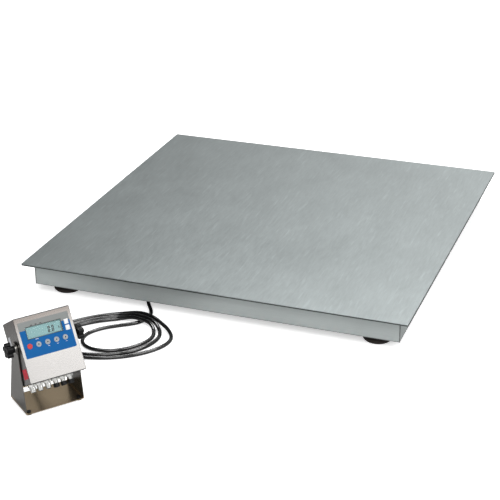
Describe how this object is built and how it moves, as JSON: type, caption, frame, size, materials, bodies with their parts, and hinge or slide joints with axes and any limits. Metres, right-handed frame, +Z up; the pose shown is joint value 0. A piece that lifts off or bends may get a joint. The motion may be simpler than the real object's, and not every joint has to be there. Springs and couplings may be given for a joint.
{
  "type": "platform scale",
  "caption": "Low square stainless platform scale on levelling feet, with a tilting indicator on its own stand, joined by a long loose cable.",
  "frame": {"origin": "on the floor below the centre of the box round the whole object, its loose cable not counted", "axes": "+X to the right along the platform's front edge, +Y from the indicator towards the platform's back, +Z up"},
  "size_m": [1.2, 1.8441, 0.2589],
  "materials": {
    "brushed_plate": "brushed stainless, grain from front to back",
    "satin_frame": "satin stainless",
    "cell_steel": "nickel-plated steel",
    "zinc_fasteners": "bright zinc",
    "foot_rubber": "matt black-brown rubber",
    "box_plastic": "fine-textured plastic",
    "gasket_rubber": "matt foam rubber",
    "board_green": "solder-masked circuit board",
    "terminal_plastic": "moulded plastic",
    "gland_metal": "nickel-plated brass, bright",
    "cable_jacket": "smooth glossy black jacket",
    "lead_jacket": "smooth dark grey jacket",
    "mirror_steel": "polished stainless",
    "foot_black": "soft black plastic",
    "housing_steel": "fine brushed stainless",
    "overlay_film": "fine-textured printed film, blue with a light grey band",
    "window_clear": "clear window",
    "display_panel": "green-grey liquid crystal panel",
    "key_metal": "metallic grey cap with a darker centre",
    "key_red": "red cap",
    "switch_plastic": "moulded plastic",
    "battery_wrap": "shrink-wrapped cells",
    "socket_metal": "nickel-plated brass",
    "cap_dark": "black moulded plastic",
    "patch_film": "plain red film and plain pale film",
    "spacer_rubber": "matt rubber",
    "knob_plastic": "fine-textured black plastic"
  },
  "bodies": {
    "platform_and_stand": {"top_plate": "brushed_plate", "frame_front": "satin_frame", "frame_rear": "satin_frame", "frame_left": "satin_frame", "frame_right": "satin_frame", "cross_ribs": "satin_frame", "cell_mount_plates": "satin_frame", "cell_bolts": "zinc_fasteners", "foot_lock_nuts": "zinc_fasteners", "junction_box_carrier": "satin_frame", "junction_box_base": "box_plastic", "junction_box_gasket": "gasket_rubber", "junction_box_lid": "box_plastic", "junction_box_screws": "zinc_fasteners", "summing_board": "board_green", "terminal_blocks": "terminal_plastic", "cell_cable_glands": "gland_metal", "outlet_gland": "gland_metal", "cell_cables": "lead_jacket", "cable_clips": "switch_plastic", "signal_cable": "cable_jacket", "stand_bracket": "mirror_steel", "bracket_feet": "foot_black", "load_cell_front_left": "cell_steel", "load_cell_front_right": "cell_steel", "load_cell_rear_left": "cell_steel", "load_cell_rear_right": "cell_steel"},
    "housing": {"housing_shell": "housing_steel", "cover_gasket": "gasket_rubber", "rear_cover": "housing_steel", "cover_screws": "zinc_fasteners", "keypad_overlay": "overlay_film", "display_window": "window_clear", "display_module": "display_panel", "main_board": "board_green", "key_switches": "switch_plastic", "battery_pack": "battery_wrap", "underside_sockets": "socket_metal", "socket_caps": "cap_dark", "rear_gland": "gland_metal", "side_patches": "patch_film", "pivot_spacers": "spacer_rubber"},
    "pad_front_left": {"foot_pad_front_left": "foot_rubber"},
    "stud_front_left": {"foot_stud_front_left": "zinc_fasteners"},
    "pad_front_right": {"foot_pad_front_right": "foot_rubber"},
    "stud_front_right": {"foot_stud_front_right": "zinc_fasteners"},
    "pad_rear_left": {"foot_pad_rear_left": "foot_rubber"},
    "stud_rear_left": {"foot_stud_rear_left": "zinc_fasteners"},
    "pad_rear_right": {"foot_pad_rear_right": "foot_rubber"},
    "stud_rear_right": {"foot_stud_rear_right": "zinc_fasteners"},
    "washer_left": {"washer_left": "zinc_fasteners"},
    "knob_left": {"knob_left": "knob_plastic"},
    "washer_right": {"washer_right": "zinc_fasteners"},
    "knob_right": {"knob_right": "knob_plastic"},
    "key_1": {"key_1": "key_red"},
    "key_2": {"key_2": "key_metal"},
    "key_3": {"key_3": "key_metal"},
    "key_4": {"key_4": "key_metal"},
    "key_5": {"key_5": "key_metal"}
  },
  "joints": [
    {"name": "foot_front_left_height", "type": "slide", "parent": "platform_and_stand", "child": "pad_front_left", "axis": [0, 0, -1], "range_m": [0, 0.008]},
    {"name": "foot_front_left_turn", "type": "hinge", "parent": "pad_front_left", "child": "stud_front_left", "pos_m": [-0.492, -0.19, 0.014], "axis": [0, 0, -1], "range_deg": [0, 1646]},
    {"name": "foot_front_right_height", "type": "slide", "parent": "platform_and_stand", "child": "pad_front_right", "axis": [0, 0, -1], "range_m": [0, 0.008]},
    {"name": "foot_front_right_turn", "type": "hinge", "parent": "pad_front_right", "child": "stud_front_right", "pos_m": [0.492, -0.19, 0.014], "axis": [0, 0, -1], "range_deg": [0, 1646]},
    {"name": "foot_rear_left_height", "type": "slide", "parent": "platform_and_stand", "child": "pad_rear_left", "axis": [0, 0, -1], "range_m": [0, 0.008]},
    {"name": "foot_rear_left_turn", "type": "hinge", "parent": "pad_rear_left", "child": "stud_rear_left", "pos_m": [-0.492, 0.834, 0.014], "axis": [0, 0, -1], "range_deg": [0, 1646]},
    {"name": "foot_rear_right_height", "type": "slide", "parent": "platform_and_stand", "child": "pad_rear_right", "axis": [0, 0, -1], "range_m": [0, 0.008]},
    {"name": "foot_rear_right_turn", "type": "hinge", "parent": "pad_rear_right", "child": "stud_rear_right", "pos_m": [0.492, 0.834, 0.014], "axis": [0, 0, -1], "range_deg": [0, 1646]},
    {"name": "housing_tilt", "type": "hinge", "parent": "platform_and_stand", "child": "housing", "pos_m": [-0.23222, -0.80928, 0.178], "axis": [0.628, 0.7782, 0], "range_deg": [-30, 32], "deforming": ["signal_cable"]},
    {"name": "washer_left_slide", "type": "slide", "parent": "housing", "child": "washer_left", "axis": [-0.628, -0.7782, 0], "range_m": [0, 0.00375]},
    {"name": "knob_left_turn", "type": "hinge", "parent": "washer_left", "child": "knob_left", "pos_m": [-0.23222, -0.80928, 0.178], "axis": [-0.628, -0.7782, 0], "range_deg": [0, 1081]},
    {"name": "washer_right_slide", "type": "slide", "parent": "housing", "child": "washer_right", "axis": [0.628, 0.7782, 0], "range_m": [0, 0.00375]},
    {"name": "knob_right_turn", "type": "hinge", "parent": "washer_right", "child": "knob_right", "pos_m": [-0.23222, -0.80928, 0.178], "axis": [0.628, 0.7782, 0], "range_deg": [0, 1081]},
    {"name": "key_1_press", "type": "slide", "parent": "housing", "child": "key_1", "axis": [-0.6556, 0.529, -0.5388], "range_m": [0, 0.0005], "stiffness_N_per_m": 300},
    {"name": "key_2_press", "type": "slide", "parent": "housing", "child": "key_2", "axis": [-0.6556, 0.529, -0.5388], "range_m": [0, 0.0005], "stiffness_N_per_m": 300},
    {"name": "key_3_press", "type": "slide", "parent": "housing", "child": "key_3", "axis": [-0.6556, 0.529, -0.5388], "range_m": [0, 0.0005], "stiffness_N_per_m": 300},
    {"name": "key_4_press", "type": "slide", "parent": "housing", "child": "key_4", "axis": [-0.6556, 0.529, -0.5388], "range_m": [0, 0.0005], "stiffness_N_per_m": 300},
    {"name": "key_5_press", "type": "slide", "parent": "housing", "child": "key_5", "axis": [-0.6556, 0.529, -0.5388], "range_m": [0, 0.0005], "stiffness_N_per_m": 300}
  ],
  "couplings": [
    {"joint": "foot_front_left_turn", "follows": "foot_front_left_height", "rad_per_m": 3590.4},
    {"joint": "foot_front_right_turn", "follows": "foot_front_right_height", "rad_per_m": 3590.4},
    {"joint": "foot_rear_left_turn", "follows": "foot_rear_left_height", "rad_per_m": 3590.4},
    {"joint": "foot_rear_right_turn", "follows": "foot_rear_right_height", "rad_per_m": 3590.4},
    {"joint": "knob_left_turn", "follows": "washer_left_slide", "rad_per_m": 5026.6},
    {"joint": "knob_right_turn", "follows": "washer_right_slide", "rad_per_m": 5026.6}
  ]
}
